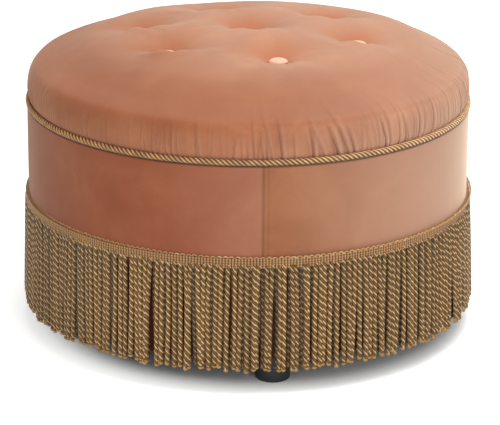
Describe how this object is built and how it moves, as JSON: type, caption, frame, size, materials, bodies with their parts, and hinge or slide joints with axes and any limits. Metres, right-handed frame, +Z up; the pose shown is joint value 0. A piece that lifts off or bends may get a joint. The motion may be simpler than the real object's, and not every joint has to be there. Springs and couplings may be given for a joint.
{
  "type": "tuffet",
  "caption": "Round buttoned velvet tuffet: a crowned, tufted cushion over a drum with rope welt, plain velvet band, hanging bullion fringe and short round feet.",
  "frame": {"origin": "on the floor, under the centre of the drum", "axes": "+Z up, the drum's axis. -Y is the front, where the picture's nearest seam and foot are. +X is to the right of someone who looks at the front"},
  "size_m": [0.6124, 0.6124, 0.4093],
  "materials": {
    "velvet": "matte",
    "button_velvet": "matte",
    "gold_cord": "satin",
    "cotton_tape": "matte",
    "black_plastic": "satin",
    "plywood": "matte",
    "pine": "matte",
    "hardboard": "matte",
    "polyester_wadding": "matte",
    "foam_rubber": "matte",
    "black_cambric": "matte",
    "zinc_steel": "satin",
    "waxed_twine": "satin"
  },
  "bodies": {
    "root": {"cushion_cover": "velvet", "band_right": "velvet", "band_left": "velvet", "button_1": "button_velvet", "button_2": "button_velvet", "button_3": "button_velvet", "button_4": "button_velvet", "button_5": "button_velvet", "button_6": "button_velvet", "button_7": "button_velvet", "rope_welt": "gold_cord", "bullion_fringe": "gold_cord", "welt_tape": "cotton_tape", "foot_1": "black_plastic", "foot_2": "black_plastic", "foot_3": "black_plastic", "foot_4": "black_plastic", "base_panel": "plywood", "deck_panel": "plywood", "post_1": "pine", "post_2": "pine", "post_3": "pine", "post_4": "pine", "side_panel": "hardboard", "side_wadding": "polyester_wadding", "cushion_foam": "foam_rubber", "dust_cover": "black_cambric", "deck_screw_1": "zinc_steel", "deck_screw_2": "zinc_steel", "deck_screw_3": "zinc_steel", "deck_screw_4": "zinc_steel", "base_screw_1": "zinc_steel", "base_screw_2": "zinc_steel", "base_screw_3": "zinc_steel", "base_screw_4": "zinc_steel", "foot_stud_1": "zinc_steel", "foot_stud_2": "zinc_steel", "foot_stud_3": "zinc_steel", "foot_stud_4": "zinc_steel", "foot_nut_1": "zinc_steel", "foot_nut_2": "zinc_steel", "foot_nut_3": "zinc_steel", "foot_nut_4": "zinc_steel", "tuft_washer_1": "zinc_steel", "tuft_washer_2": "zinc_steel", "tuft_washer_3": "zinc_steel", "tuft_washer_4": "zinc_steel", "tuft_washer_5": "zinc_steel", "tuft_washer_6": "zinc_steel", "tuft_washer_7": "zinc_steel", "tuft_twine_1": "waxed_twine", "tuft_twine_2": "waxed_twine", "tuft_twine_3": "waxed_twine", "tuft_twine_4": "waxed_twine", "tuft_twine_5": "waxed_twine", "tuft_twine_6": "waxed_twine", "tuft_twine_7": "waxed_twine"}
  },
  "joints": []
}
